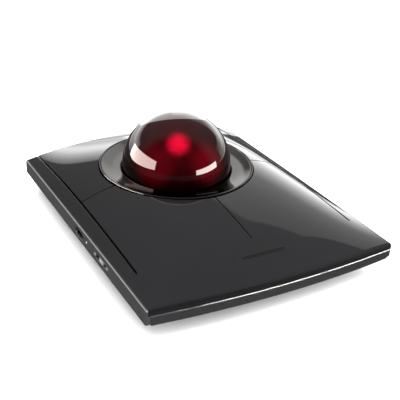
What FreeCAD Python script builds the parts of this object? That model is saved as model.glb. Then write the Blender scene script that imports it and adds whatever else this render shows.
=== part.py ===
import FreeCAD, Part
import math
import os

# A large-ball desk pointing device: a thin slab with a domed top, a ball held in a cup in
# the middle, four press plates around it, and the electronics inside a shallow belly.
# Millimetres. +Z is up, +Y points away from the user, -X is the side with the ports.
# The origin is on the desk under the centre of the slab.

os.makedirs("parts", exist_ok=True)
V = FreeCAD.Vector
UP = V(0, 0, 1)
FAR = 200.0                      # longer than the part, for cutting blocks
DEEP = 50.0                      # deeper than the slab

# ---- clearances ---------------------------------------------------------------------
RUN = 0.1                        # between parts that slide
SNUG = 0.03                      # around fixed round parts
TOUCH = 0.05                     # between a part that pushes and the part it pushes

# ---- slab ---------------------------------------------------------------------------
HALF_WIDTH = 62.0                # outer faces of the side caps
HALF_LENGTH = 74.5               # at the corners
EDGE_BOW = 3.6                   # how far the front and back edges bulge at the middle
EDGE_UNDER = 11.0                # underside of the thin rim
EDGE_TOP = 18.2                  # top of the thin rim
CROWN = 12.0                     # rise of the dome above the rim
CROWN_Y = 25.5                   # where the dome is highest
CROWN_FRONT = 103.0              # distance over which it falls to the rim, to the front
CROWN_BACK = 68.0                # the same, to the back
SIDE_POWER = 3.4                 # how flat the dome is across its middle
BACK_POWER = 2.0                 # and along the back edge
GRID_STEP = 4.0                  # spacing of the points that the dome passes through
TOP_THICK = 2.0                  # top shell and press plates
WALL = 1.8                       # rim and belly walls
CAP_THICK = 2.2                  # side caps
SEAM = 15.7                      # where the top shell meets the lower case
TRIM_TALL = 0.8                  # bright strip along the front seam
TRIM_DEEP = 1.2
GAP = 0.5                        # grooves around the press plates
GROOVE_DEEP = 0.6                # the same grooves where they only score the shell
INLAY_HALF_X, INLAY_HALF_Y = 11.0, 0.9
INLAY_Y = -62.0
INLAY_THICK = 0.5

# ---- ball and its seat --------------------------------------------------------------
BALL_R = 27.5
BALL_Y = 20.7
BALL_Z = 28.5
CUP_IN = 28.3
CUP_OUT = 29.9
FLANGE_R = 38.2
FLANGE_Z = 23.5
FLANGE_TOP = 25.5
BEZEL_IN = 28.4
BEZEL_OUT = 38.25
BEZEL_INNER_Z = 26.7
BEZEL_OUTER_Z = 28.5
RIM_IN = 38.3
RIM_OUT = 39.0
RIM_Z = 28.8
RIM_CHAMFER = 0.18
LEG_R = 3.0
LEG_FROM_BALL = 34.0
LEG_ANGLES = (30, 150, 270)
LEG_FOOT = 3.6                   # top of the floor bosses that the legs stand on
BEARING_R = 1.5
BEARING_LONG = 5.0               # from the ball's surface to the pin's back
BEARING_TILT = 38.0              # below the ball's equator
SEAT_R, SEAT_LONG = 3.0, 4.5
SENSOR_TILT = 30.0
WINDOW_R, WINDOW_THICK = 3.8, 1.2
CHIP_HALF, CHIP_FROM, CHIP_THICK = 4.5, 31.2, 2.2
SENSOR_BOARD_HALF, SENSOR_BOARD_LONG, SENSOR_BOARD_THICK = 7.0, 6.0, 1.0
CABLE_THICK = 0.3
CABLE_HALF = 3.0
CABLE_LIFT = 0.05

# ---- press plates and their switches ------------------------------------------------
PLATE_X = 55.3                   # side grooves
PLATE_FRONT = -51.5              # flexing line of the lower plates
PLATE_SPLIT = 11.0               # groove between lower and upper plates
PLATE_BACK = 66.0                # flexing line of the upper plates
PLATE_HOLE = RIM_OUT + GAP
FLEX_GAP = 0.3
SWITCH_X = 39.5
SWITCH_LOWER_Y, SWITCH_UPPER_Y = -8.0, 42.0
SWITCH_WIDE, SWITCH_LONG, SWITCH_TALL = 5.8, 12.8, 6.6
PLUNGER_R, PLUNGER_LONG, PLUNGER_OUT = 1.2, 2.3, 0.7
PLUNGER_BORE = 3.2
PUSHER_R = 2.0

# ---- belly --------------------------------------------------------------------------
BELLY_X, BELLY_Y = 46.5, 59.25   # half-width and half-length at the floor
BELLY_MID_Y = 1.75               # it sits a little toward the back
BELLY_FLARE = 3.5                # how much wider it is at the rim's underside
BELLY_CORNER = 10.0
FLOOR_LOW, FLOOR_TOP = 1.0, 2.6
WING_TOP = EDGE_UNDER + 1.2
BALL_HOLE = 11.45                # hole in the floor under the ball
FOOT_X, FOOT_Y = 30.0, 52.5
FOOT_LONG, FOOT_WIDE, FOOT_TALL = 24.0, 7.0, 1.6
FOOT_RECESS = 0.6

# ---- boards and power ---------------------------------------------------------------
BOARD_LOW, BOARD_TOP = 6.0, 7.6
BOARD_X, BOARD_Y, BOARD_CORNER = 43.0, 57.0, 4.0
BOARD_HOLE = 31.0
BOARD_POSTS = [(-38.0, -50.0), (38.0, -50.0), (-38.0, 53.0), (38.0, 53.0)]
BOARD_POST_R = 2.4
CONTROLLER = (-26.0, -27.0, 7.0, 7.0, 1.0)      # corner x, corner y, size x, y, z
RADIO = (16.0, -30.0, 12.0, 11.0, 1.9)
SOCKET = (27.0, -47.0, 4.0, 6.0, 3.4)
PAD = (-20.0, -53.0, 40.0, 18.0, 1.2)
CELL = (-22.0, -55.0, 44.0, 22.0, 5.2)
CELL_ROUND = 2.0
RADIO_ROUND = 0.4
LEAD_R = 0.5
LEAD_PLACES = (-45.0, -43.0)

# ---- fasteners ----------------------------------------------------------------------
CASE_SCREWS = [(-50.0, -68.0), (0.0, -71.5), (50.0, -68.0),
               (-50.0, 69.0), (0.0, 71.5), (50.0, 69.0)]
HEAD_R, HEAD_TALL, SHANK_R = 1.9, 1.3, 0.9
DRIVE_R, DRIVE_DEEP = 0.8, 0.6
HEAD_HOLE, SHANK_HOLE, THREAD_HOLE = 2.1, 1.1, 1.0
CASE_SEAT = EDGE_UNDER + 1.6     # where the heads stop
CASE_BOSS_TOP = EDGE_UNDER + 3.5
CASE_SCREW_LONG = 4.0
CASE_BOSS_R, TOP_BOSS_R, FLOOR_BOSS_R = 3.2, 3.0, 3.6
CUP_SEAT = FLOOR_LOW + 1.4
CUP_SCREW_LONG = 7.5
BOARD_SCREW_LONG = 4.0

# ---- left side: port, light and mode slider -----------------------------------------
PORT_Y, PORT_Z = -3.7, 14.8
PORT_WIDE, PORT_TALL, PORT_LONG = 9.0, 3.2, 7.4
PORT_WALL = 0.25
PORT_SET_BACK = 0.6
TONGUE_HALF_WIDE, TONGUE_HALF_TALL, TONGUE_SET_BACK = 3.3, 0.35, 1.5
WALL_REACH = -HALF_WIDTH + 5.0   # how far in the openings are cut
SIDE_BOARD_TOP = PORT_Z - PORT_TALL / 2
SIDE_BOARD_X = (-58.0, -48.3)
SIDE_BOARD_Y = (-40.0, 4.0)
LIGHT_Y, LIGHT_R, LIGHT_LONG = -12.5, 0.7, 3.8
LIGHT_CHIP = 1.6
SLIDER_Y = -29.5
SLIDER_LONG, SLIDER_TALL = 4.0, 2.2
SLIDER_TRAVEL = 2.5
SLIDER_RECESS = 0.9
SLIDER_NOTCHES = (-1.2, -0.4, 0.4, 1.2)
NOTCH_HALF, NOTCH_DEEP = 0.2, 0.25
STEM_LONG, STEM_TALL = 1.6, 1.2
MODE_BODY_X = (-57.8, -53.8)
MODE_BODY_HALF = 6.0
STEM_END = -56.2

# ---- underside: two small buttons and the stored receiver ---------------------------
KEY_X, KEY_Y = 14.0, -44.0
KEY_R, KEY_FLANGE, KEY_STEM = 3.5, 4.6, 1.5
KEY_FACE, KEY_FLANGE_THICK, KEY_TOP = 1.2, 0.75, 4.1
TACT_HALF, TACT_LOW = 2.0, 4.6
BAY_X, BAY_WALL = 7.6, 0.7
BAY_LOW, BAY_TOP = 3.3, 9.9
BAY_FRONT, BAY_BACK = 45.5, 59.5
RECEIVER_SPLIT = 58.0            # where its plug meets its cap
PLUG_HALF_X, PLUG_HALF_Z, PLUG_LONG, PLUG_WALL = 6.0, 2.25, 12.0, 0.35
RECEIVER_INSET = 0.3             # how far its cap sits inside the belly's slope


# ---- helpers ------------------------------------------------------------------------
def save(name, shape):
    """Write one sub-part."""
    shape.exportStep("parts/" + name + ".step")


def block(x0, x1, y0, y1, z0, z1):
    """An upright block between two corners."""
    return Part.makeBox(x1 - x0, y1 - y0, z1 - z0, V(x0, y0, z0))


def on_board(place, z=BOARD_TOP):
    """A block given as corner and size, standing at height z."""
    x, y, wide, deep, tall = place
    return block(x, x + wide, y, y + deep, z, z + tall)


def post(x, y, z0, z1, radius):
    """An upright cylinder."""
    return Part.makeCylinder(radius, z1 - z0, V(x, y, z0))


def spin(points, x=0.0, y=0.0):
    """A ring turned from (radius, height) points about an upright axis."""
    outline = [V(radius, 0, height) for radius, height in points]
    face = Part.Face(Part.makePolygon(outline + outline[:1]))
    ring = face.revolve(V(0, 0, 0), UP, 360)
    ring.translate(V(x, y, 0))
    return ring


def rounded_outline(half_x, half_y, corner, z):
    """A rounded rectangle about the origin, as a wire."""
    arcs = []
    for quarter, (sx, sy) in enumerate(((1, 1), (-1, 1), (-1, -1), (1, -1))):
        centre = V(sx * (half_x - corner), sy * (half_y - corner), z)
        arcs.append(Part.makeCircle(corner, centre, UP, quarter * 90, quarter * 90 + 90))
    ends = [(arc.Vertexes[0].Point, arc.Vertexes[1].Point) for arc in arcs]
    sides = [Part.makeLine(ends[i][1], ends[(i + 1) % 4][0]) for i in range(4)]
    return Part.Wire([edge for pair in zip(arcs, sides) for edge in pair])


def rounded_slab(x, y, half_x, half_y, corner, z0, z1):
    """A rounded rectangle given height."""
    slab = Part.Face(rounded_outline(half_x, half_y, corner, z0)).extrude(V(0, 0, z1 - z0))
    slab.translate(V(x, y, 0))
    return slab


def rounded_bar(x0, x1, y, z, wide, tall):
    """A bar along X whose section is a slot with round ends."""
    radius = tall / 2
    flat = wide / 2 - radius
    middle = block(x0, x1, y - flat, y + flat, z - radius, z + radius)
    ends = [Part.makeCylinder(radius, x1 - x0, V(x0, y + side * flat, z), V(1, 0, 0))
            for side in (-1, 1)]
    return middle.fuse(ends).removeSplitter()


def slab_prism(inset, z0, z1):
    """The slab's plan outline: straight sides, bowed front and back."""
    half, end = HALF_WIDTH - inset, HALF_LENGTH - inset
    corners = [V(-half, -end, z0), V(half, -end, z0), V(half, end, z0), V(-half, end, z0)]
    front = Part.Arc(corners[0], V(0, -end - EDGE_BOW, z0), corners[1]).toShape()
    right = Part.makeLine(corners[1], corners[2])
    back = Part.Arc(corners[2], V(0, end + EDGE_BOW, z0), corners[3]).toShape()
    left = Part.makeLine(corners[3], corners[0])
    return Part.Face(Part.Wire([front, right, back, left])).extrude(V(0, 0, z1 - z0))


def core_prism(inset, z0, z1):
    """The slab's plan outline between the side caps."""
    half = HALF_WIDTH - CAP_THICK - inset
    return slab_prism(inset, z0, z1).common(block(-half, half, -FAR, FAR, z0, z1))


def top_height(x, y):
    """Height of the domed top at one place."""
    reach = CROWN_FRONT if y < CROWN_Y else CROWN_BACK
    along = 1 - ((y - CROWN_Y) / reach) ** 2
    toward_back = max(0.0, y / (HALF_LENGTH + EDGE_BOW)) ** 2
    power = SIDE_POWER + (BACK_POWER - SIDE_POWER) * toward_back
    across = 1 - (abs(x) / HALF_WIDTH) ** power
    return EDGE_TOP + CROWN * along * across


def top_face():
    """The domed top as one smooth face, a little larger than the slab."""
    columns = range(-16, 17)
    rows = range(-20, 21)
    grid = [[V(i * GRID_STEP, j * GRID_STEP, top_height(i * GRID_STEP, j * GRID_STEP))
             for j in rows] for i in columns]
    surface = Part.BSplineSurface()
    surface.interpolate(grid)
    return surface.toShape()


def top_layer(thick):
    """The dome given thickness downwards."""
    return TOP_FACE.extrude(V(0, 0, -thick))


def aim(shape, turn, tilt):
    """Turn a shape built along +Z to point out of the ball at a tilt below its equator."""
    lean = FreeCAD.Rotation(V(0, 1, 0), 90 + tilt)
    shape = shape.copy()
    shape.Placement = FreeCAD.Placement(
        V(0, BALL_Y, BALL_Z), FreeCAD.Rotation(UP, turn).multiply(lean))
    return shape


TOP_FACE = top_face()
UNDER_TOP = top_layer(DEEP)
TOP_PLATE = top_layer(TOP_THICK)


# ---- casings ------------------------------------------------------------------------
def belly(inset, z0, z1):
    """The shallow tapered body under the slab, or its inside when inset."""
    wires = []
    for z in (z0, z1):
        flare = BELLY_FLARE * (z - FLOOR_LOW) / (EDGE_UNDER - FLOOR_LOW) - inset
        wires.append(rounded_outline(BELLY_X + flare, BELLY_Y + flare, BELLY_CORNER - inset, z))
    shape = Part.makeLoft(wires, True, True)
    shape.translate(V(0, BELLY_MID_Y, 0))
    return shape


def leg_places():
    """Where the cup's legs stand."""
    for angle in LEG_ANGLES:
        turn = math.radians(angle)
        yield LEG_FROM_BALL * math.cos(turn), BALL_Y + LEG_FROM_BALL * math.sin(turn)


def foot_places():
    """Centres of the four rubber feet."""
    return [(x, y) for y in (-FOOT_Y, FOOT_Y) for x in (-FOOT_X, FOOT_X)]


def stem_slot(x0, x1):
    """Room for the mode slider's stem over its whole travel."""
    half = STEM_LONG / 2 + SLIDER_TRAVEL + RUN
    return block(x0, x1, SLIDER_Y - half, SLIDER_Y + half,
                 PORT_Z - STEM_TALL / 2 - RUN, PORT_Z + STEM_TALL / 2 + RUN)


def port_side_openings():
    """What the port, the light and the slider need cut through the left wall."""
    edge = -HALF_WIDTH - 1
    port = rounded_bar(edge, WALL_REACH, PORT_Y, PORT_Z, PORT_WIDE + 2 * RUN, PORT_TALL + 2 * RUN)
    light = Part.makeCylinder(LIGHT_R + SNUG, WALL_REACH - edge, V(edge, LIGHT_Y, PORT_Z), V(1, 0, 0))
    return port.fuse([light, stem_slot(edge, WALL_REACH)])


def case_bosses():
    """Bosses for the screws and for the boards."""
    bosses = [post(x, y, EDGE_UNDER, CASE_BOSS_TOP, CASE_BOSS_R) for x, y in CASE_SCREWS]
    bosses += [post(x, y, FLOOR_LOW, LEG_FOOT, FLOOR_BOSS_R) for x, y in leg_places()]
    bosses += [post(x, y, FLOOR_LOW + 1, BOARD_LOW, BOARD_POST_R) for x, y in BOARD_POSTS]
    return bosses


def case_holes():
    """Everything that is cut out of the lower case."""
    holes = [post(0, BALL_Y, 0, FLOOR_TOP + 1, BALL_HOLE)]
    for x, y in CASE_SCREWS:
        holes += [post(x, y, EDGE_UNDER - 1, CASE_SEAT, HEAD_HOLE),
                  post(x, y, EDGE_UNDER, CASE_BOSS_TOP + 1, SHANK_HOLE)]
    for x, y in leg_places():
        holes += [post(x, y, 0, CUP_SEAT, HEAD_HOLE), post(x, y, 0, LEG_FOOT + 1, SHANK_HOLE)]
    for x, y in BOARD_POSTS:
        holes += [post(x, y, BOARD_TOP - BOARD_SCREW_LONG - RUN, BOARD_TOP, THREAD_HOLE)]
    for x in (-KEY_X, KEY_X):
        holes += [post(x, KEY_Y, 0, FLOOR_TOP + 1, KEY_R + 2 * RUN)]
    for x, y in foot_places():
        holes += [rounded_slab(x, y, FOOT_LONG / 2 + RUN, FOOT_WIDE / 2 + RUN, FOOT_WIDE / 2,
                               0, FLOOR_LOW + FOOT_RECESS)]
    holes += [block(-BAY_X, BAY_X, BAY_BACK - WALL, BELLY_Y + 3 * BELLY_FLARE, BAY_LOW, BAY_TOP)]
    return holes + [port_side_openings(), front_trim()]


def lower_case():
    """Floor, tapered belly, thin wings and the lower half of the rim wall."""
    wings = core_prism(0, EDGE_UNDER, WING_TOP)
    band = core_prism(0, EDGE_UNDER, SEAM).cut(core_prism(WALL, EDGE_UNDER, SEAM))
    case = belly(0, FLOOR_LOW, EDGE_UNDER).fuse(wings).cut(belly(WALL, FLOOR_TOP, WING_TOP))
    return case.fuse([band] + case_bosses()).cut(case_holes())


def front_trim():
    """Bright strip that covers the seam along the front."""
    z0 = SEAM - TRIM_TALL
    strip = slab_prism(0, z0, SEAM).cut(slab_prism(TRIM_DEEP, z0, SEAM))
    return strip.common(block(-FAR, FAR, -FAR, TRIM_DEEP - HALF_LENGTH, 0, FAR))


def front_inlay():
    """Plain dark pill let into the top near the front edge."""
    pill = rounded_slab(0, INLAY_Y, INLAY_HALF_X, INLAY_HALF_Y, INLAY_HALF_Y - SNUG, 0, FAR)
    return top_layer(INLAY_THICK).common(pill)


def top_shell():
    """Frame around the press plates, with the upper half of the rim wall."""
    frame = TOP_PLATE.common(core_prism(0, 0, FAR))
    window_x = PLATE_X + GAP / 2
    window = block(-window_x, window_x, PLATE_FRONT - FLEX_GAP / 2, PLATE_BACK + FLEX_GAP / 2, 0, FAR)
    skirt = core_prism(0, SEAM, DEEP).cut(core_prism(WALL, SEAM, DEEP)).common(UNDER_TOP)
    bosses = [post(x, y, CASE_BOSS_TOP + RUN, DEEP, TOP_BOSS_R).common(UNDER_TOP)
              for x, y in CASE_SCREWS]
    thread_top = CASE_SEAT + CASE_SCREW_LONG + RUN
    holes = [post(x, y, CASE_BOSS_TOP, thread_top, THREAD_HOLE) for x, y in CASE_SCREWS]
    for x in (-PLATE_X, 0, PLATE_X):
        line = block(x - GAP / 2, x + GAP / 2, PLATE_BACK, FAR, 0, FAR)
        holes.append(top_layer(GROOVE_DEEP).common(line))
    holes += [port_side_openings(), front_inlay()]
    return frame.cut(window).fuse([skirt] + bosses).cut(holes)


def side_cap(side):
    """Textured end cap; the left one has the ports."""
    x0, x1 = sorted((side * (HALF_WIDTH - CAP_THICK), side * (HALF_WIDTH + 1)))
    keep = block(x0, x1, -FAR, FAR, 0, FAR)
    cap = slab_prism(0, EDGE_UNDER, DEEP).common(UNDER_TOP).common(keep).cut(front_trim())
    if side > 0:
        return cap
    half = SLIDER_LONG / 2 + SLIDER_TRAVEL + 2 * RUN
    recess = block(-HALF_WIDTH - 1, -HALF_WIDTH + SLIDER_RECESS, SLIDER_Y - half, SLIDER_Y + half,
                   PORT_Z - SLIDER_TALL / 2 - RUN, PORT_Z + SLIDER_TALL / 2 + RUN)
    return cap.cut([port_side_openings(), recess])


def foot(x, y):
    """Long rubber pad let into the floor."""
    return rounded_slab(x, y, FOOT_LONG / 2, FOOT_WIDE / 2, FOOT_WIDE / 2 - RUN, 0, FOOT_TALL)


# ---- press plates -------------------------------------------------------------------
def press_plate(side, upper):
    """One corner plate with the post that works its switch."""
    y0 = PLATE_SPLIT + GAP / 2 if upper else PLATE_FRONT + FLEX_GAP / 2
    y1 = PLATE_BACK - FLEX_GAP / 2 if upper else PLATE_SPLIT - GAP / 2
    x0, x1 = sorted((side * GAP / 2, side * (PLATE_X - GAP / 2)))
    plate = TOP_PLATE.common(block(x0, x1, y0, y1, 0, FAR))
    plate = plate.cut(post(0, BALL_Y, 0, FAR, PLATE_HOLE))
    pusher_low = BOARD_TOP + SWITCH_TALL + PLUNGER_OUT + TOUCH
    pusher = post(side * SWITCH_X, switch_y(upper), pusher_low, DEEP, PUSHER_R).common(UNDER_TOP)
    return plate.fuse(pusher)


def switch_y(upper):
    """Where a plate's switch stands along Y."""
    return SWITCH_UPPER_Y if upper else SWITCH_LOWER_Y


def switch_body(x, y):
    """Snap-action switch case with the bore for its plunger."""
    top = BOARD_TOP + SWITCH_TALL
    body = block(x - SWITCH_WIDE / 2, x + SWITCH_WIDE / 2, y - SWITCH_LONG / 2, y + SWITCH_LONG / 2,
                 BOARD_TOP, top)
    return body.cut(post(x, y, top + PLUNGER_OUT - PLUNGER_BORE, top + 1, PLUNGER_R + RUN))


def switch_plunger(x, y):
    """Small cap that the plate's post presses."""
    top = BOARD_TOP + SWITCH_TALL + PLUNGER_OUT
    return post(x, y, top - PLUNGER_LONG, top, PLUNGER_R)


# ---- ball and its seat --------------------------------------------------------------
def ball():
    """The 55 mm ball."""
    return Part.makeSphere(BALL_R, V(0, BALL_Y, BALL_Z))


def cup_holes():
    """Seats for the bearings, holes for the sensor windows, and the legs' threads."""
    bearing_hole = Part.makeCylinder(BEARING_R + SNUG, BEARING_LONG, V(0, 0, BALL_R))
    window_hole = Part.makeCylinder(WINDOW_R + SNUG, BEARING_LONG, V(0, 0, BALL_R))
    holes = [aim(bearing_hole, turn, BEARING_TILT) for turn in LEG_ANGLES]
    holes += [aim(window_hole, turn, SENSOR_TILT) for turn in (0, 180)]
    thread_top = CUP_SEAT + CUP_SCREW_LONG + RUN
    return holes + [post(x, y, LEG_FOOT - 1, thread_top, THREAD_HOLE) for x, y in leg_places()]


def ball_cup():
    """Round cup on three legs, with seats for the bearings and windows for the sensors."""
    centre = V(0, BALL_Y, BALL_Z)
    zone = block(-FAR, FAR, -FAR, FAR, FLOOR_TOP, FLANGE_TOP)
    cup = Part.makeSphere(CUP_OUT, centre).common(zone)
    flange = spin([(CUP_IN, FLANGE_Z), (FLANGE_R, FLANGE_Z), (FLANGE_R, FLANGE_TOP),
                   (CUP_IN, FLANGE_TOP)], 0, BALL_Y)
    legs = [post(x, y, LEG_FOOT, FLANGE_Z + 1, LEG_R) for x, y in leg_places()]
    seat = Part.makeCylinder(SEAT_R, SEAT_LONG, V(0, 0, CUP_IN))
    seats = [aim(seat, turn, BEARING_TILT) for turn in LEG_ANGLES]
    hollow = Part.makeSphere(CUP_IN, centre)
    return cup.fuse([flange] + legs + seats).cut([hollow] + cup_holes())


def bearing(turn):
    """Round-nosed bearing pin that the ball rests on."""
    nose = BALL_R + TOUCH + BEARING_R
    shank = Part.makeCylinder(BEARING_R, BALL_R + BEARING_LONG - nose, V(0, 0, nose))
    pin = Part.makeSphere(BEARING_R, V(0, 0, nose)).fuse(shank)
    return aim(pin.removeSplitter(), turn, BEARING_TILT)


def bezel_ring():
    """Dished ring around the ball."""
    return spin([(BEZEL_IN, FLANGE_TOP), (BEZEL_OUT, FLANGE_TOP), (BEZEL_OUT, BEZEL_OUTER_Z),
                 (BEZEL_IN, BEZEL_INNER_Z)], 0, BALL_Y)


def bezel_rim():
    """Thin bright edge of the dished ring."""
    return spin([(RIM_IN, FLANGE_TOP), (RIM_OUT, FLANGE_TOP), (RIM_OUT, RIM_Z - RIM_CHAMFER),
                 (RIM_OUT - RIM_CHAMFER, RIM_Z), (RIM_IN + RIM_CHAMFER, RIM_Z),
                 (RIM_IN, RIM_Z - RIM_CHAMFER)], 0, BALL_Y)


def sensor_window(turn):
    """Clear disc in the cup's wall."""
    return aim(Part.makeCylinder(WINDOW_R, WINDOW_THICK, V(0, 0, CUP_IN + RUN)), turn, SENSOR_TILT)


def sensor_chip(turn):
    """Optical sensor behind the window."""
    chip = block(-CHIP_HALF, CHIP_HALF, -CHIP_HALF, CHIP_HALF, CHIP_FROM, CHIP_FROM + CHIP_THICK)
    return aim(chip, turn, SENSOR_TILT)


def sensor_board(turn):
    """Small board that carries the sensor."""
    low = CHIP_FROM + CHIP_THICK
    board = block(-SENSOR_BOARD_LONG, SENSOR_BOARD_LONG, -SENSOR_BOARD_HALF, SENSOR_BOARD_HALF,
                  low, low + SENSOR_BOARD_THICK)
    return aim(board, turn, SENSOR_TILT)


def flat_cable(points, y0, y1):
    """Flat cable that follows (x, z) points, given width along Y."""
    lower = [V(x, y0, z) for x, z in points]
    upper = [V(x, y0, z + CABLE_THICK) for x, z in reversed(points)]
    outline = lower + upper
    return Part.Face(Part.makePolygon(outline + outline[:1])).extrude(V(0, y1 - y0, 0))


def sensor_cables():
    """Flat cables from the sensor boards down to the main board."""
    low = BOARD_TOP + CABLE_LIFT
    route = [(30.7, 12.6), (33.2, 12.6), (35.0, low), (39.0, low)]
    cables = [flat_cable([(side * x, z) for x, z in route], BALL_Y - CABLE_HALF, BALL_Y + CABLE_HALF)
              for side in (-1, 1)]
    return Part.makeCompound(cables)


# ---- boards and power ---------------------------------------------------------------
def main_board():
    """Main circuit board, open around the cup and the receiver's pocket."""
    board = rounded_slab(0, 0, BOARD_X, BOARD_Y, BOARD_CORNER, BOARD_LOW, BOARD_TOP)
    bay = BAY_X + BAY_WALL + WALL
    cuts = [post(0, BALL_Y, 0, FAR, BOARD_HOLE), block(-bay, bay, BALL_Y, FAR, 0, FAR)]
    cuts += [post(x, y, 0, FAR, FLOOR_BOSS_R) for x, y in leg_places()]
    cuts += [post(x, y, 0, FAR, SHANK_HOLE) for x, y in BOARD_POSTS]
    return board.cut(cuts)


def radio_module():
    """Shielded radio module on the main board."""
    can = on_board(RADIO)
    return can.makeFillet(RADIO_ROUND, can.Edges)


def battery():
    """Flat rechargeable cell in front of the cup."""
    cell = on_board(CELL, BOARD_TOP + PAD[-1])
    along = [edge for edge in cell.Edges if abs(edge.tangentAt(edge.FirstParameter).x) > 0.9]
    return cell.makeFillet(CELL_ROUND, along)


def battery_leads():
    """Two short wires from the cell to its socket."""
    start = CELL[0] + CELL[2]
    wires = [Part.makeCylinder(LEAD_R, SOCKET[0] - start, V(start, y, BOARD_TOP + SOCKET[-1] - 1), V(1, 0, 0))
             for y in LEAD_PLACES]
    return Part.makeCompound(wires)


def side_board():
    """Board under the ports."""
    return block(*SIDE_BOARD_X, *SIDE_BOARD_Y, WING_TOP, SIDE_BOARD_TOP)


def side_cable():
    """Flat cable from the side board down to the main board."""
    high, low = SIDE_BOARD_TOP + CABLE_LIFT, BOARD_TOP + CABLE_LIFT
    route = [(-50.5, high), (-46.0, high), (-41.5, low), (-37.0, low)]
    middle = (SIDE_BOARD_Y[0] + SLIDER_TRAVEL * 2 + SIDE_BOARD_Y[1]) / 2 - CABLE_HALF
    return flat_cable(route, middle - CABLE_HALF, middle + CABLE_HALF)


# ---- left side: port, light and mode slider -----------------------------------------
def port_shell():
    """Metal shell of the charging port."""
    mouth = -HALF_WIDTH + PORT_SET_BACK
    outer = rounded_bar(mouth, mouth + PORT_LONG, PORT_Y, PORT_Z, PORT_WIDE, PORT_TALL)
    hollow = rounded_bar(mouth - 1, mouth + PORT_LONG - PORT_SET_BACK, PORT_Y, PORT_Z,
                         PORT_WIDE - 2 * PORT_WALL, PORT_TALL - 2 * PORT_WALL)
    return outer.cut(hollow)


def port_tongue():
    """Contact tongue inside the port."""
    return block(-HALF_WIDTH + TONGUE_SET_BACK, -HALF_WIDTH + PORT_LONG,
                 PORT_Y - TONGUE_HALF_WIDE, PORT_Y + TONGUE_HALF_WIDE,
                 PORT_Z - TONGUE_HALF_TALL, PORT_Z + TONGUE_HALF_TALL)


def status_light():
    """Light pipe through the cap."""
    return Part.makeCylinder(LIGHT_R, LIGHT_LONG, V(-HALF_WIDTH + RUN, LIGHT_Y, PORT_Z), V(1, 0, 0))


def light_chip():
    """Light source behind the pipe."""
    x0 = SIDE_BOARD_X[0] + 2 * RUN
    return block(x0, x0 + LIGHT_CHIP, LIGHT_Y - LIGHT_CHIP / 2, LIGHT_Y + LIGHT_CHIP / 2,
                 SIDE_BOARD_TOP, PORT_Z + LIGHT_R)


def mode_switch():
    """Slide switch body with the slot for its stem."""
    body = block(*MODE_BODY_X, SLIDER_Y - MODE_BODY_HALF, SLIDER_Y + MODE_BODY_HALF,
                 SIDE_BOARD_TOP, PORT_Z + PORT_TALL / 2)
    return body.cut(stem_slot(MODE_BODY_X[0] - 1, STEM_END + 2 * RUN))


def mode_slider():
    """Ribbed finger piece and its stem."""
    face_x = -HALF_WIDTH + TOUCH
    back_x = -HALF_WIDTH + SLIDER_RECESS - RUN
    grip = block(face_x, back_x, SLIDER_Y - SLIDER_LONG / 2, SLIDER_Y + SLIDER_LONG / 2,
                 PORT_Z - SLIDER_TALL / 2, PORT_Z + SLIDER_TALL / 2)
    notches = [block(face_x - 1, face_x + NOTCH_DEEP, SLIDER_Y + offset - NOTCH_HALF,
                     SLIDER_Y + offset + NOTCH_HALF, 0, FAR) for offset in SLIDER_NOTCHES]
    stem = block(back_x, STEM_END, SLIDER_Y - STEM_LONG / 2, SLIDER_Y + STEM_LONG / 2,
                 PORT_Z - STEM_TALL / 2, PORT_Z + STEM_TALL / 2)
    return grip.cut(notches).fuse(stem)


# ---- underside: two small buttons and the stored receiver ---------------------------
def floor_key(x):
    """Round button in the floor with a flange that keeps it in."""
    flange_low = FLOOR_TOP + TOUCH
    flange_top = flange_low + KEY_FLANGE_THICK
    return spin([(0, KEY_FACE), (KEY_R, KEY_FACE), (KEY_R, flange_low), (KEY_FLANGE, flange_low),
                 (KEY_FLANGE, flange_top), (KEY_STEM, flange_top), (KEY_STEM, KEY_TOP), (0, KEY_TOP)],
                x, KEY_Y)


def tact_switches():
    """Small push switches under the main board."""
    return Part.makeCompound([block(x - TACT_HALF, x + TACT_HALF, KEY_Y - TACT_HALF, KEY_Y + TACT_HALF,
                                    TACT_LOW, BOARD_LOW) for x in (-KEY_X, KEY_X)])


def receiver_bay():
    """Sleeve that stores the receiver, open at the back of the belly."""
    half = BAY_X + BAY_WALL
    outer = block(-half, half, BAY_FRONT - BAY_WALL, BAY_BACK, FLOOR_TOP, BAY_TOP + BAY_WALL)
    return outer.cut(block(-BAY_X, BAY_X, BAY_FRONT, FAR, BAY_LOW, BAY_TOP))


def receiver_plug():
    """Metal plug shell of the receiver."""
    z = (BAY_LOW + BAY_TOP) / 2
    shell = block(-PLUG_HALF_X, PLUG_HALF_X, RECEIVER_SPLIT - PLUG_LONG, RECEIVER_SPLIT,
                  z - PLUG_HALF_Z, z + PLUG_HALF_Z)
    inner_x, inner_z = PLUG_HALF_X - PLUG_WALL, PLUG_HALF_Z - PLUG_WALL
    return shell.cut(block(-inner_x, inner_x, 0, RECEIVER_SPLIT - PLUG_WALL, z - inner_z, z + inner_z))


def receiver_cap():
    """Plastic cap of the receiver, just inside the belly's sloping back."""
    cap = block(-BAY_X + RUN, BAY_X - RUN, RECEIVER_SPLIT, FAR, BAY_LOW + RUN, BAY_TOP - RUN)
    return cap.common(belly(RECEIVER_INSET, FLOOR_TOP, EDGE_UNDER))


# ---- fasteners ----------------------------------------------------------------------
def screw(x, y, seat, length, way):
    """Pan-head screw; the head sits on seat and the shank runs the given way, 1 up or -1 down."""
    def part(start, end, radius):
        return post(x, y, min(start, end), max(start, end), radius)
    crown = seat - way * HEAD_TALL
    head = part(seat, crown, HEAD_R).cut(part(crown, crown + way * DRIVE_DEEP, DRIVE_R))
    return head.fuse(part(seat, seat + way * length, SHANK_R))


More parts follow.
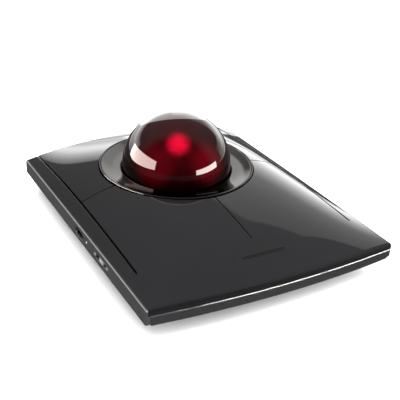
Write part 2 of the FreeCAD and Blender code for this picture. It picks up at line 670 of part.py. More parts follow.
def case_screws():
    """Six screws up through the rim."""
    return Part.makeCompound([screw(x, y, CASE_SEAT, CASE_SCREW_LONG, 1) for x, y in CASE_SCREWS])


def cup_screws():
    """Three screws up through the floor into the cup's legs."""
    return Part.makeCompound([screw(x, y, CUP_SEAT, CUP_SCREW_LONG, 1) for x, y in leg_places()])


def board_screws():
    """Four screws that hold the main board."""
    return Part.makeCompound([screw(x, y, BOARD_TOP, BOARD_SCREW_LONG, -1) for x, y in BOARD_POSTS])


# ---- output -------------------------------------------------------------------------
def save_casings():
    """Casings, caps and feet."""
    save("lower_case", lower_case())
    save("top_shell", top_shell())
    save("front_trim", front_trim())
    save("front_inlay", front_inlay())
    save("left_side_cap", side_cap(-1))
    save("right_side_cap", side_cap(1))
    for number, (x, y) in enumerate(foot_places(), 1):
        save("rubber_foot_" + str(number), foot(x, y))


def save_plates():
    """Press plates with their switches and plungers."""
    for word, side in (("left", -1), ("right", 1)):
        for level, upper in (("lower", False), ("upper", True)):
            name = level + "_" + word
            place = (side * SWITCH_X, switch_y(upper))
            save(name + "_button", press_plate(side, upper))
            save(name + "_switch", switch_body(*place))
            save(name + "_plunger", switch_plunger(*place))


def save_ball_seat():
    """Ball, cup, ring, bearings and sensors."""
    save("ball", ball())
    save("ball_cup", ball_cup())
    save("bezel_ring", bezel_ring())
    save("bezel_rim", bezel_rim())
    for number, turn in enumerate(LEG_ANGLES, 1):
        save("ball_bearing_" + str(number), bearing(turn))
    for word, turn in (("left", 180), ("right", 0)):
        save(word + "_sensor_window", sensor_window(turn))
        save(word + "_sensor_chip", sensor_chip(turn))
        save(word + "_sensor_board", sensor_board(turn))
    save("sensor_cables", sensor_cables())


def save_electronics():
    """Boards, cell, port, light and switches."""
    save("main_board", main_board())
    save("controller_chip", on_board(CONTROLLER))
    save("radio_module", radio_module())
    save("battery", battery())
    save("battery_pad", on_board(PAD))
    save("battery_socket", on_board(SOCKET))
    save("battery_leads", battery_leads())
    save("side_board", side_board())
    save("side_cable", side_cable())
    save("port_shell", port_shell())
    save("port_tongue", port_tongue())
    save("status_light", status_light())
    save("light_chip", light_chip())
    save("mode_switch", mode_switch())
    save("mode_slider", mode_slider())


def save_underside():
    """Small buttons, receiver and screws."""
    save("speed_button", floor_key(-KEY_X))
    save("pairing_button", floor_key(KEY_X))
    save("tact_switches", tact_switches())
    save("receiver_bay", receiver_bay())
    save("receiver_plug", receiver_plug())
    save("receiver_cap", receiver_cap())
    save("case_screws", case_screws())
    save("cup_screws", cup_screws())
    save("board_screws", board_screws())


save_casings()
save_plates()
save_ball_seat()
save_electronics()
save_underside()
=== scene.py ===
import math

import bmesh
import bpy
import numpy as np
from mathutils import Matrix, Vector
from mathutils.geometry import delaunay_2d_cdt


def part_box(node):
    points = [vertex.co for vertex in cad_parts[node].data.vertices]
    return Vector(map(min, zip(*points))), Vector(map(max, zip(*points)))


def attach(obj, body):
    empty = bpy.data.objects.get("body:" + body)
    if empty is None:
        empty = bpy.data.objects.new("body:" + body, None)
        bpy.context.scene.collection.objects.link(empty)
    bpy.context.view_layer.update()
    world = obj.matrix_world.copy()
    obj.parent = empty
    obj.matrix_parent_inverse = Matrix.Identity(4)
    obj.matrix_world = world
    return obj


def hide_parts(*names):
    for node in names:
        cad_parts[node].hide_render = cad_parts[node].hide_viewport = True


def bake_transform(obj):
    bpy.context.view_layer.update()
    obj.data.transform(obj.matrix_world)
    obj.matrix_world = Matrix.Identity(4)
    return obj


# A large-ball desk pointing device: a thin glossy slab with a domed top, a deep red ball
# in a dished metal ring, four flexing press plates and matte side caps.
# Metres in Blender's scene; the driving dimensions below are millimetres, as MM says.

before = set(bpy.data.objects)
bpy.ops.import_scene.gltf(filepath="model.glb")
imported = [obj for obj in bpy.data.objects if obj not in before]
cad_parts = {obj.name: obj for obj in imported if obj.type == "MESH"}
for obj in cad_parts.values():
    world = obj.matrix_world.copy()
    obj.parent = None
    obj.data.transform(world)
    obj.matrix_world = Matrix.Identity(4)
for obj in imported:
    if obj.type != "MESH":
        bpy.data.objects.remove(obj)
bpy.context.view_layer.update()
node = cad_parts

MM = 0.001

# ---- slab ----
HALF_WIDTH, HALF_LENGTH, EDGE_BOW = 62.0, 74.5, 3.6
EDGE_UNDER, EDGE_TOP, SEAM = 11.0, 18.2, 15.7
CROWN, CROWN_Y, CROWN_FRONT, CROWN_BACK = 12.0, 25.5, 103.0, 68.0
SIDE_POWER, BACK_POWER = 3.4, 2.0
SHELL_THICK = 2.0
GAP, GROOVE_DEEP = 0.5, 0.6
PLATE_X, PLATE_SPLIT, PLATE_FRONT, PLATE_BACK = 55.3, 11.0, -51.5, 66.0
FLEX = 1.5                       # each side of a flexing line over which the top bends
CAP_LIP = 0.9                    # what shows of a side cap beside the gloss top
CAP_THICK = 2.2
FRONT_ROUND, BACK_ROUND = 2.1, 1.3
GROOVE_ROUND = 0.1
SIDE_ROUND = 0.4                 # rounding along the grooves beside the plates
CORNER_STEP = 0.45               # first point beside a sharp corner
CORNER_SHARE = 0.4               # of a side's length that this point may lie along it
SHARP_COSINE = 0.9               # a corner that turns further than this counts as sharp
ALMOST_STRAIGHT = 0.2            # sine of a corner that is offset along its middle
SEAM_ROUND = 0.006               # where two pieces meet with no visible line
CORNER_STEPS = 5                 # sides of a quarter turn
CLOSE = 1e-7                     # points nearer than this are one point
GRID_CLEAR = 0.45                # of the grid's step that its points keep from the edges
TRIM_TALL, TRIM_DEEP = 0.8, 1.2
INLAY_HALF_X, INLAY_HALF_Y, INLAY_Y, INLAY_THICK = 11.0, 0.9, -62.0, 0.5
INLAY_ROUND = 0.06
SIDE_SKIRT = 1.4                 # how far the gloss top reaches down beside the caps

# ---- ball and ring ----
BALL_R, BALL_Y, BALL_Z = 27.5, 20.7, 28.5
RING_IN, RING_OUT, RING_LOW = 28.4, 38.25, 25.5
RING_INNER_Z, RING_OUTER_Z, RING_SAG, RING_ROUND = 26.7, 28.5, 0.35, 0.35
RIM_IN, RIM_OUT, RIM_Z = 38.3, 39.0, 28.8
PLATE_HOLE = RIM_OUT + GAP
LATHE_STEPS, RING_STEPS, RIM_STEPS = 192, 24, 10

# ---- left side ----
PORT_Y, PORT_Z, PORT_WIDE, PORT_TALL = -3.7, 14.8, 9.2, 3.4
LIGHT_Y, LIGHT_R = -12.5, 0.73
SLIDER_Y, SLIDER_HALF, SLIDER_TALL = -29.5, 4.7, 2.4
STEM_HALF, STEM_TALL = 3.4, 1.4  # the slot behind the slider
STEM_LONG, STEM_HIGH, STEM_CORNER, STEM_ROUND = 1.6, 1.2, 0.2, 0.05
SLIDER_CORNER, OPENING_ROUND = 0.4, 0.12
RIDGE_DEEP, RIDGE_PITCH, PAD_CORNER, PAD_ROUND = 0.22, 0.8, 0.35, 0.12
PAD_STEP, PAD_GRID = 0.2, 0.12
LENS_DOME, LENS_ROUND, LENS_GRID = 0.15, 0.06, 0.2
MARK_AWAY, MARK_LONG, MARK_TALL, MARK_THICK = 6.6, 0.95, 0.6, 0.02
# edge roundings of the caps: along the top, at the ends and underneath
CAP_ROUNDS = {-1: (0.5, 0.35, 0.35), 1: (0.75, 0.75, 0.6)}
CAP_CORNER, CAP_STEPS, CAP_SPAN = 1.0, 50, 3.6
HOLE_ROUND, SLOT_CORNER = 0.05, 0.15
BODY_TOP = 16.8
TRIM_ROUND, TRIM_PROUD, TRIM_WRAP = 0.2, 0.03, 0.6
TRIM_STEPS, TRIM_TURNS, TRIM_ARC = 80, 8, np.linspace(0.3, math.pi / 2, 4)
REACH, NEAR = 0.1, 0.02          # to each side of a place where a lean or a slope is measured
RUN = 0.05                       # a small clearance

# ---- switches and underside ----
SWITCH_X, SWITCH_LOWER_Y, SWITCH_UPPER_Y = 39.5, -8.0, 42.0
PUSHER_R, PUSHER_LOW, PUSHER_ROUND = 2.0, 14.95, 0.2
FOOT_ROUND, FOOT_CROWN, FOOT_STEPS, FOOT_GRID = 0.35, 0.12, 14, 0.8
KEY_R, KEY_DISH, KEY_ROUND, KEY_SEAT = 3.5, 0.25, 0.2, 3.35
KEY_STEPS, KEY_GRID, FLANGE_ROUND = 48, 0.5, 0.1

# ---- view ----
AZIMUTH, ELEVATION, ROLL = -30.69, 27.65, 3.57
DISTANCE, LENS, SENSOR = 372.46, 67.51, 36.0
TARGET = (2.96, 0.0, 16.74)


# ---- shapes of the top ----
def bow(x):
    """How far the slab's front and back edges bulge at x."""
    radius = (HALF_WIDTH ** 2 + EDGE_BOW ** 2) / (2 * EDGE_BOW)
    return EDGE_BOW - radius + math.sqrt(radius ** 2 - x ** 2)


def dome(x, y):
    """Height of the domed top, without its scored grooves."""
    reach = CROWN_FRONT if y < CROWN_Y else CROWN_BACK
    along = 1 - ((y - CROWN_Y) / reach) ** 2
    toward_back = max(0.0, y / (HALF_LENGTH + EDGE_BOW)) ** 2
    power = SIDE_POWER + (BACK_POWER - SIDE_POWER) * toward_back
    across = 1 - (min(abs(x), HALF_WIDTH) / HALF_WIDTH) ** power
    return EDGE_TOP + CROWN * along * across


def shell_under(x, y):
    """Height of the gloss top's underside."""
    return dome(x, y) - SHELL_THICK


def scored_dome(x, y):
    """The dome with the grooves that run on behind the upper plates."""
    height = dome(x, y)
    if y < FLEX_BACK - RUN:
        return height
    for line, r, _ in GROOVES:
        side = (GAP / 2 + r - abs(x - line)) / (2 * r)
        share = min(1.0, max(0.0, side))
        height -= GROOVE_DEEP * share * share * (3 - 2 * share)
    return height


def slope(height, x, y):
    """Unit normal of a height function at one place."""
    gx = (height(x + NEAR, y) - height(x - NEAR, y)) / (2 * NEAR)
    gy = (height(x, y + NEAR) - height(x, y - NEAR)) / (2 * NEAR)
    return Vector((-gx, -gy, 1)).normalized()


# ---- outlines ----
# An outline is a list of (x, y, r) with the material on its left; r is the edge rounding
# of the side that starts there.
def is_sharp(corners, i):
    """True where an outline turns a sharp corner."""
    (xa, ya, _), (x, y, _) = corners[i - 1], corners[i]
    xb, yb, _ = corners[(i + 1) % len(corners)]
    before = Vector((x - xa, y - ya)).normalized()
    return before.dot(Vector((xb - x, yb - y)).normalized()) < SHARP_COSINE


def fill_in(corners, step):
    """Add points along the long sides of an outline, and beside its sharp corners."""
    points = []
    for i, (x, y, r) in enumerate(corners):
        following = (i + 1) % len(corners)
        nx, ny, _ = corners[following]
        length = math.hypot(nx - x, ny - y)
        count = max(1, round(length / step))
        shares = [k / count for k in range(count)]
        near = CORNER_STEP / length
        if near < CORNER_SHARE and is_sharp(corners, i):
            shares.insert(1, near)
        if near < CORNER_SHARE and is_sharp(corners, following):
            shares.append(1 - near)
        points += [(x + (nx - x) * k, y + (ny - y) * k, r) for k in shares]
    return points


def arc(cx, cy, radius, start, end, count, r):
    """Points of an arc, angles in degrees."""
    turns = [math.radians(start + (end - start) * k / count) for k in range(count + 1)]
    return [(cx + radius * math.cos(t), cy + radius * math.sin(t), r) for t in turns]


def pill(cx, cy, half_long, half_tall, r, count=10):
    """A bar with round ends along its first axis."""
    flat = half_long - half_tall
    points = arc(cx + flat, cy, half_tall, -90, 90, count, r)
    return points + arc(cx - flat, cy, half_tall, 90, 270, count, r)


def circle(cx, cy, radius, r, count=24):
    """A round outline."""
    return arc(cx, cy, radius, 0, 360, count, r)[:-1]


def rounded_box(x0, x1, y0, y1, corner, r):
    """A rectangle with round corners."""
    points = []
    for quarter, (cx, cy) in enumerate(((x0 + corner, y0 + corner), (x1 - corner, y0 + corner),
                                        (x1 - corner, y1 - corner), (x0 + corner, y1 - corner))):
        points += arc(cx, cy, corner, 180 + 90 * quarter, 270 + 90 * quarter, CORNER_STEPS, r)
    return points


def turned(outline):
    """The same outline walked the other way, for a hole."""
    return [(outline[i][0], outline[i][1], outline[i - 1][2])
            for i in reversed(range(len(outline)))]


def side_normals(outline):
    """Inward normals of the sides before and after each point of an outline."""
    pairs = []
    for i, (x, y, _) in enumerate(outline):
        (xa, ya, _), (xb, yb, _) = outline[i - 1], outline[(i + 1) % len(outline)]
        pairs.append((Vector((ya - y, x - xa)).normalized(), Vector((y - yb, xb - x)).normalized()))
    return pairs


def offset(outline, share):
    """Move each side of an outline into the material by its rounding times share."""
    moved = []
    for i, ((x, y, r), (before, after)) in enumerate(zip(outline, side_normals(outline))):
        a, b = outline[i - 1][2] * share, r * share
        cross = before.x * after.y - before.y * after.x
        if abs(cross) > ALMOST_STRAIGHT:
            step = Vector((a * after.y - b * before.y, b * before.x - a * after.x)) / cross
        else:
            step = (before + after).normalized() * (a + b) / 2
        moved.append((x + step.x, y + step.y))
    return moved


def outward(outline):
    """Direction away from the material at each point of an outline."""
    return [-(before + after).normalized().to_3d() for before, after in side_normals(outline)]


# ---- mesh building ----
def new_mesh(name, verts, faces):
    data = bpy.data.meshes.new(name)
    data.from_pydata(verts, [], faces)
    return data


def new_object(name, data):
    obj = bpy.data.objects.new(name, data)
    bpy.context.scene.collection.objects.link(obj)
    return obj


class Build:
    """Collects vertices and faces with the normal of each face corner."""

    def __init__(self, place=lambda x, y, h: Vector((x, y, h))):
        self.verts, self.faces, self.normals = [], [], []
        self.place = place

    def add(self, x, y, h):
        self.verts.append(self.place(x, y, h) * MM)
        return len(self.verts) - 1

    def face(self, corners, normals):
        self.faces.append(corners)
        origin = self.place(0, 0, 0)
        self.normals += [(self.place(*n) - origin).normalized() for n in normals]

    def mesh(self, name):
        data = new_mesh(name, self.verts, self.faces)
        data.polygons.foreach_set("use_smooth", [True] * len(data.polygons))
        data.normals_split_custom_set([tuple(n) for n in self.normals])
        data.update()
        return data


def sides(outlines):
    """Start and end of every side of the outlines."""
    return [(o[i], o[(i + 1) % len(o)]) for o in outlines for i in range(len(o))]


def contained(outlines, points):
    """Whether each point lies inside the outlines and outside the holes."""
    inside = np.zeros(len(points), bool)
    for (xa, ya), (xb, yb) in sides(outlines):
        if ya != yb:
            crosses = (ya > points[:, 1]) != (yb > points[:, 1])
            inside ^= crosses & (points[:, 0] < xa + (points[:, 1] - ya) * (xb - xa) / (yb - ya))
    return inside


def grid_inside(outlines, step, clear):
    """Grid points inside the outlines and at least clear away from them."""
    starts = np.array([p for o in outlines for p in o])
    low, high = starts.min(0), starts.max(0)
    xs = np.arange(math.ceil(low[0] / step), high[0] / step) * step
    ys = np.arange(math.ceil(low[1] / step), high[1] / step) * step
    points = np.array([(x, y) for x in xs for y in ys]).reshape(-1, 2)
    inside = contained(outlines, points)
    nearest = np.full(len(points), np.inf)
    for (xa, ya), (xb, yb) in sides(outlines):
        side = np.array((xb - xa, yb - ya))
        along = ((points - (xa, ya)) @ side) / max(side @ side, 1e-12)
        gap = points - (xa, ya) - np.clip(along, 0, 1)[:, None] * side
        nearest = np.minimum(nearest, np.hypot(gap[:, 0], gap[:, 1]))
    return [tuple(p) for p in points[inside & (nearest > clear)]]


def skin(build, rings, extra, height, up):
    """Fill the area inside the rings, given as lists of (vertex, x, y)."""
    known = [(v, x, y) for ring in rings for v, x, y in ring]
    edges, start = [], 0
    for ring in rings:
        count = len(ring)
        edges += [(start + i, start + (i + 1) % count) for i in range(count)]
        start += count
    flat = [Vector((x, y)) for _, x, y in known] + [Vector(p) for p in extra]
    index = [v for v, _, _ in known] + [build.add(x, y, height(x, y)) for x, y in extra]
    out = delaunay_2d_cdt(flat, edges, [], 0, CLOSE)
    source = [ids[0] for ids in out[3]]
    triangles = [[source[i] for i in triangle] for triangle in out[2]]
    middles = np.array([np.mean([flat[i] for i in corners], axis=0) for corners in triangles])
    kept = contained([[(x, y) for _, x, y in ring] for ring in rings], middles)
    for corners, inside in zip(triangles, kept):
        if not inside:
            continue
        a, b, c = (flat[i] for i in corners)
        if (b - a).cross(c - a) < 0:
            corners.reverse()
        normals = [slope(height, *flat[i]) for i in corners]
        if not up:
            corners.reverse()
            normals = [-n for n in reversed(normals)]
        build.face([index[i] for i in corners], normals)


def crowned(build, outlines, height, lows, step, extra=()):
    """A solid under a height function, with rounded upper edges. outlines are the outer
    one and the holes, and lows gives the underside's height along each of them."""
    tops, bottoms = [], []
    for outline, low in zip(outlines, lows):
        away = outward(outline)
        previous = None
        for k in range(CORNER_STEPS + 1):
            turn = math.pi / 2 * k / CORNER_STEPS
            ring = []
            for i, (x, y) in enumerate(offset(outline, 1 - math.cos(turn))):
                r = max(outline[i][2], outline[i - 1][2])
                ring.append((build.add(x, y, height(x, y) - r * (1 - math.sin(turn))), x, y))
            shade = [(a * math.cos(turn) + slope(height, x, y) * math.sin(turn)).normalized()
                     for a, (_, x, y) in zip(away, ring)]
            if previous is None:
                under = [(build.add(x, y, low(x, y)), x, y) for x, y, _ in outline]
                bottoms.append(under)
                previous = under, away
            join(build, (ring, shade), previous)
            previous = ring, shade
        tops.append(ring)
    inner = [[(x, y) for _, x, y in ring] for ring in tops]
    points = grid_inside(inner, step, GRID_CLEAR * step) if step else []
    points += extra
    skin(build, tops, points, height, True)
    skin(build, bottoms, [], lambda x, y: 0.0, False)
    return build


def join(build, upper, lower):
    """Quads between two rings that have the same number of points."""
    (over, over_shade), (under, under_shade) = upper, lower
    count = len(over)
    for i in range(count):
        j = (i + 1) % count
        build.face([over[i][0], under[i][0], under[j][0], over[j][0]],
                   [over_shade[i], under_shade[i], under_shade[j], over_shade[j]])


def lathe(profile):
    """Turn (radius, z) points about the ball's upright axis. The profile runs with the
    material on its left, seen with the radius to the right and z up."""
    build = Build()
    turns = [math.tau * k / LATHE_STEPS for k in range(LATHE_STEPS)]
    rings = [[build.add(radius * math.cos(t), BALL_Y + radius * math.sin(t), z) for t in turns]
             for radius, z in profile]
    for a, b in zip(rings, rings[1:] + rings[:1]):
        for k in range(LATHE_STEPS):
            m = (k + 1) % LATHE_STEPS
            build.faces.append([a[k], a[m], b[m], b[k]])
    return new_mesh("lathe", build.verts, build.faces)


def soften(obj, angle=35.0):
    """Smooth shading with crisp edges kept."""
    data = obj.data
    data.polygons.foreach_set("use_smooth", [True] * len(data.polygons))
    data.set_sharp_from_angle(angle=math.radians(angle))
    return obj


def piece(name, data, body, slot, replaced=(), ride=True):
    """Make an object of the model."""
    obj = new_object(name, data)
    data.name = name
    data.materials.append(FINISHES[slot])
    if ride:
        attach(obj, body)
    if replaced:
        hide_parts(*replaced)
    return obj


# ---- materials ----
class Nodes:
    """Short names for the shader nodes that the materials share."""

    def __init__(self, material, fresh=True):
        material.use_nodes = True
        self.tree = material.node_tree
        if fresh:
            self.tree.nodes.clear()
        self.coords = self.new("ShaderNodeTexCoord").outputs["Object"]

    def new(self, kind, **settings):
        made = self.tree.nodes.new(kind)
        for name, value in settings.items():
            setattr(made, name, value)
        return made

    def link(self, a, b):
        self.tree.links.new(a, b)

    def shader(self):
        """A new surface shader, linked to the output."""
        made = self.new("ShaderNodeBsdfPrincipled")
        self.link(made.outputs[0], self.new("ShaderNodeOutputMaterial").inputs[0])
        return made

    def axes(self, vector):
        """The three parts of a vector."""
        made = self.new("ShaderNodeSeparateXYZ")
        self.link(vector, made.inputs[0])
        return made.outputs

    def geometry(self, what):
        return self.new("ShaderNodeNewGeometry").outputs[what]

    def feed(self, socket, value):
        """Set a socket to a number or colour, or link another one to it."""
        if isinstance(value, bpy.types.NodeSocket):
            self.link(value, socket)
        else:
            socket.default_value = (*value, 1) if socket.type == "RGBA" else value

    def math(self, operation, *values):
        made = self.new("ShaderNodeMath", operation=operation)
        for socket, value in zip(made.inputs, values):
            self.feed(socket, value)
        return made.outputs[0]

    def product(self, first, *factors):
        for factor in factors:
            first = self.math("MULTIPLY", first, factor)
        return first

    def span(self, value, a, b, to_a, to_b, smooth=False):
        made = self.new("ShaderNodeMapRange")
        made.interpolation_type = "SMOOTHSTEP" if smooth else "LINEAR"
        for name, number in (("From Min", a), ("From Max", b), ("To Min", to_a), ("To Max", to_b)):
            made.inputs[name].default_value = number
        self.link(value, made.inputs["Value"])
        return made.outputs["Result"]

    def noise(self, size, detail=2.0, stretch=(1, 1, 1)):
        """Noise whose blobs are about size metres across."""
        stretched = self.new("ShaderNodeVectorMath", operation="MULTIPLY")
        self.link(self.coords, stretched.inputs[0])
        stretched.inputs[1].default_value = stretch
        made = self.new("ShaderNodeTexNoise")
        made.inputs["Scale"].default_value = 1 / size
        made.inputs["Detail"].default_value = detail
        self.link(stretched.outputs[0], made.inputs["Vector"])
        return made.outputs["Fac"]

    def mix(self, factor, a, b, kind="RGBA"):
        """A colour, or with kind FLOAT a number, between a and b."""
        made = self.new("ShaderNodeMix", data_type=kind)
        inputs = [socket for socket in made.inputs if socket.enabled]
        for socket, value in zip(inputs, (factor, a, b)):
            self.feed(socket, value)
        return next(socket for socket in made.outputs if socket.enabled)

    def turn_to(self, factor, socket, target):
        """Let a linked shader input change to a fixed colour or number by a factor."""
        kind = "RGBA" if isinstance(target, tuple) else "FLOAT"
        self.link(self.mix(factor, socket.links[0].from_socket, target, kind), socket)

    def bump(self, height, depth):
        made = self.new("ShaderNodeBump")
        made.inputs["Distance"].default_value = depth
        made.inputs["Strength"].default_value = 1.0
        self.link(height, made.inputs["Height"])
        return made.outputs[0]


# Upward part of a surface's normal below which it is a gap's wall, along a plate's front and
# side; metres from the groove's middle, and from the slab's middle, where this ends.
GAP_TILT, GAP_TILT_SIDE, GAP_FADE = 0.7, 0.87, 0.1
GAP_BESIDE, GAP_ENDS = (0.0006, 0.0007), (0.073, 0.074)
# Painted shade on the gap walls: a nearly black colour and low specular. The higher roughness is their
# duller finish.
GAP_SHADE_COLOUR, GAP_ROUGH, GAP_SPECULAR = (0.0012, 0.0012, 0.0012), 0.7, (0.5, 0.05)
# The same for the rounded edges of the caps, which lie between faces and tops; there a lighter colour and
# more specular make a painted highlight.
EDGE_FROM, EDGE_TO = (0.2, 0.5), (0.85, 0.97)
EDGE_HIGHLIGHT_COLOUR, EDGE_SPECULAR = (0.11, 0.11, 0.112), (0.1, 0.5)
TURNED_LINES = 4200              # tool marks of the ring per metre of its radius


def shade(colour, amount):
    """A colour made lighter or darker."""
    return tuple(min(1.0, c * (1 + amount)) for c in colour)


def surface(colour, rough, tone=0.1, tone_size=0.02, spread=0.03, grain=0.0006,
            depth=0.00002, stretch=(1, 1, 1), **sockets):
    """A finish with colour variation, uneven roughness and a fine relief."""
    material = bpy.data.materials.new("finish")
    n = Nodes(material)
    shader = n.shader()
    cloud = n.noise(tone_size, 3.0, stretch)
    fine = n.noise(grain, 3.0, stretch)
    n.link(n.mix(cloud, shade(colour, -tone), shade(colour, tone)), shader.inputs["Base Color"])
    both = n.math("MULTIPLY", n.math("ADD", cloud, fine), 0.5)
    n.link(n.span(both, 0.3, 0.7, max(0.0, rough - spread), rough + spread), shader.inputs["Roughness"])
    n.link(n.bump(fine, depth), shader.inputs["Normal"])
    for socket, value in sockets.items():
        shader.inputs[socket.replace("_", " ")].default_value = value
    return material


def ring_material():
    """Dark metal turned on a lathe: fine rings about the ball's axis."""
    material = bpy.data.materials.new("turned_metal")
    n = Nodes(material)
    shader = n.shader()
    x, y, _ = n.axes(n.coords)
    away = n.math("SUBTRACT", y, BALL_Y * MM)
    radius = n.math("SQRT", n.math("ADD", n.product(x, x), n.product(away, away)))
    turning = n.new("ShaderNodeTexNoise", noise_dimensions="1D")
    turning.inputs["Scale"].default_value = TURNED_LINES
    turning.inputs["Detail"].default_value = 4.0
    n.link(radius, turning.inputs["W"])
    fine = turning.outputs["Fac"]
    n.link(n.mix(fine, (0.16, 0.156, 0.152), (0.26, 0.253, 0.246)), shader.inputs["Base Color"])
    n.link(n.span(fine, 0.3, 0.7, 0.07, 0.15), shader.inputs["Roughness"])
    n.link(n.bump(fine, 0.000004), shader.inputs["Normal"])
    shader.inputs["Metallic"].default_value = 1.0
    shader.inputs["Specular Tint"].default_value = (0.25, 0.25, 0.25, 1)
    return material


def ball_material():
    """Deep red resin under a clear polished skin, with faint mottling and tiny flecks."""
    material = bpy.data.materials.new("ball_red")
    n = Nodes(material)
    shader = n.shader()
    cloud = n.noise(0.012, 3.0)
    fleck = n.span(n.noise(0.0007, 1.0), 0.66, 0.76, 0, 1, smooth=True)
    deep = n.mix(cloud, (0.005, 0.00002, 0.0002), (0.010, 0.00003, 0.0004))
    n.link(n.mix(fleck, deep, (0.022, 0.0002, 0.0009)), shader.inputs["Base Color"])
    n.link(n.span(cloud, 0.3, 0.7, 0.02, 0.045), shader.inputs["Roughness"])
    shader.inputs["IOR"].default_value = 1.5
    shader.inputs["Specular Tint"].default_value = (1, 0.93, 0.91, 1)
    return material


def paint_gap_shade(material):
    """Painted shade on the walls of the narrow gaps in the top: nearly black with little specular, and a
    matte finish.
    """
    n = Nodes(material, False)
    shader = n.tree.nodes["Principled BSDF"]
    up = n.axes(n.geometry("Normal"))[2]
    x, y, _ = n.axes(n.coords)
    across = n.math("ABSOLUTE", n.math("SUBTRACT", n.math("ABSOLUTE", x), PLATE_X * MM))
    beside = n.span(across, *GAP_BESIDE, GAP_TILT_SIDE - GAP_TILT, 0)
    upright = n.span(n.math("SUBTRACT", up, beside), GAP_TILT - GAP_FADE, GAP_TILT, 1, 0)
    wall = n.product(upright, n.span(n.math("ABSOLUTE", y), *GAP_ENDS, 1, 0))
    n.link(n.span(wall, 0, 1, *GAP_SPECULAR), shader.inputs["Specular IOR Level"])
    n.turn_to(wall, shader.inputs["Base Color"], GAP_SHADE_COLOUR)
    n.turn_to(wall, shader.inputs["Roughness"], GAP_ROUGH)


def paint_edge_highlight(material):
    """Painted highlight on the rounded edges of a matte part: a lighter colour and more specular than its
    faces.
    """
    n = Nodes(material, False)
    shader = n.tree.nodes["Principled BSDF"]
    up = n.axes(n.geometry("Normal"))[2]
    edge = n.product(n.span(up, *EDGE_FROM, 0, 1, True), n.span(up, *EDGE_TO, 1, 0, True))
    n.link(n.span(edge, 0, 1, *EDGE_SPECULAR), shader.inputs["Specular IOR Level"])
    n.turn_to(edge, shader.inputs["Base Color"], EDGE_HIGHLIGHT_COLOUR)


FINISHES = {
    "gloss_top": surface((0.005, 0.005, 0.0056), 0.016, tone=0.15, tone_size=0.03, spread=0.01,
                         grain=0.004, depth=0.0000004, IOR=1.5),
    "case_black": surface((0.015, 0.015, 0.0155), 0.42, tone=0.12, grain=0.0005, depth=0.00002,
                          Specular_IOR_Level=0.3),
    "cap_charcoal": surface((0.027, 0.027, 0.028), 0.6, tone=0.16, tone_size=0.0012, spread=0.08,
                            grain=0.00055, depth=0.00006, Specular_IOR_Level=0.1),
    "bright_trim": surface((0.86, 0.86, 0.87), 0.22, tone=0.05, grain=0.0004, spread=0.06,
                           depth=0.000006, stretch=(0.06, 1, 1), Metallic=1.0),
    "inlay_black": surface((0.003, 0.003, 0.003), 0.3, tone=0.2, grain=0.0004, depth=0.00001,
                           Specular_IOR_Level=0.2),
    "rim_bright": surface((0.16, 0.158, 0.155), 0.07, tone=0.06, grain=0.0005, spread=0.03,
                          depth=0.000004, Metallic=1.0, Specular_Tint=(0.3, 0.3, 0.3, 1.0)),
    "cup_dark": surface((0.012, 0.012, 0.012), 0.45, tone=0.15),
    "bearing_white": surface((0.80, 0.79, 0.76), 0.12, tone=0.03, Coat_Weight=0.4),
    "window_clear": surface((0.90, 0.92, 0.93), 0.05, tone=0.02, spread=0.02, Transmission_Weight=0.9,
                            IOR=1.5),
    "board_green": surface((0.02, 0.11, 0.05), 0.35, tone=0.25, tone_size=0.006, Coat_Weight=0.3),
    "chip_black": surface((0.015, 0.015, 0.016), 0.4, tone=0.2, grain=0.0003),
    "flat_cable": surface((0.60, 0.42, 0.16), 0.3, tone=0.12, grain=0.0005, stretch=(0.1, 1, 1)),
    "cell_wrap": surface((0.42, 0.43, 0.45), 0.28, tone=0.08, grain=0.003, depth=0.00003, Metallic=0.5),
    "foam_grey": surface((0.10, 0.10, 0.10), 0.9, tone=0.2, grain=0.0006, depth=0.0001),
    "wire_red": surface((0.50, 0.02, 0.02), 0.4, tone=0.1),
    "socket_cream": surface((0.76, 0.72, 0.60), 0.4, tone=0.06),
    "sheet_steel": surface((0.60, 0.60, 0.61), 0.25, tone=0.06, spread=0.08, Metallic=1.0,
                           stretch=(0.1, 1, 1)),
    "screw_steel": surface((0.30, 0.30, 0.32), 0.3, tone=0.15, spread=0.1, Metallic=1.0),
    "switch_case": surface((0.03, 0.03, 0.034), 0.38, tone=0.15),
    "plunger_white": surface((0.78, 0.78, 0.76), 0.3, tone=0.05),
    "light_pipe": surface((0.82, 0.84, 0.86), 0.15, tone=0.05, Transmission_Weight=0.3,
                          Emission_Color=(0.9, 0.95, 1.0, 1.0), Emission_Strength=0.35),
    "light_source": surface((0.75, 0.75, 0.65), 0.3, tone=0.1),
    "slider_grey": surface((0.25, 0.25, 0.255), 0.4, tone=0.08, grain=0.0004, depth=0.00002),
    "key_grey": surface((0.11, 0.11, 0.115), 0.42, tone=0.12, grain=0.0004, depth=0.00002),
    "foot_rubber": surface((0.022, 0.022, 0.023), 0.7, tone=0.15, grain=0.0004, depth=0.00004),
    "bezel_dark": ring_material(),
    "ball_red": ball_material(),
}
for slot, finish in FINISHES.items():
    finish.name = slot

# Painted shade on the gap walls of the gloss top.
paint_gap_shade(FINISHES["gloss_top"])
# Painted highlight along the rounded edges of the caps.
paint_edge_highlight(FINISHES["cap_charcoal"])


# ---- gloss top ----
TOP_CLEAR = 0.02                 # between the gloss top and the side caps
POST_SUNK = 1.0                  # from a plate's face down to the end of the post in it
SPAN = 1.6                       # spacing of the points on the dome
EDGE_SPAN = 1.2                  # and along its edges
FRAME_X = HALF_WIDTH - CAP_LIP - TOP_CLEAR
FLEX_FRONT = PLATE_FRONT - FLEX
FLEX_BACK = PLATE_BACK + FLEX
WINDOW_X = PLATE_X + GAP / 2
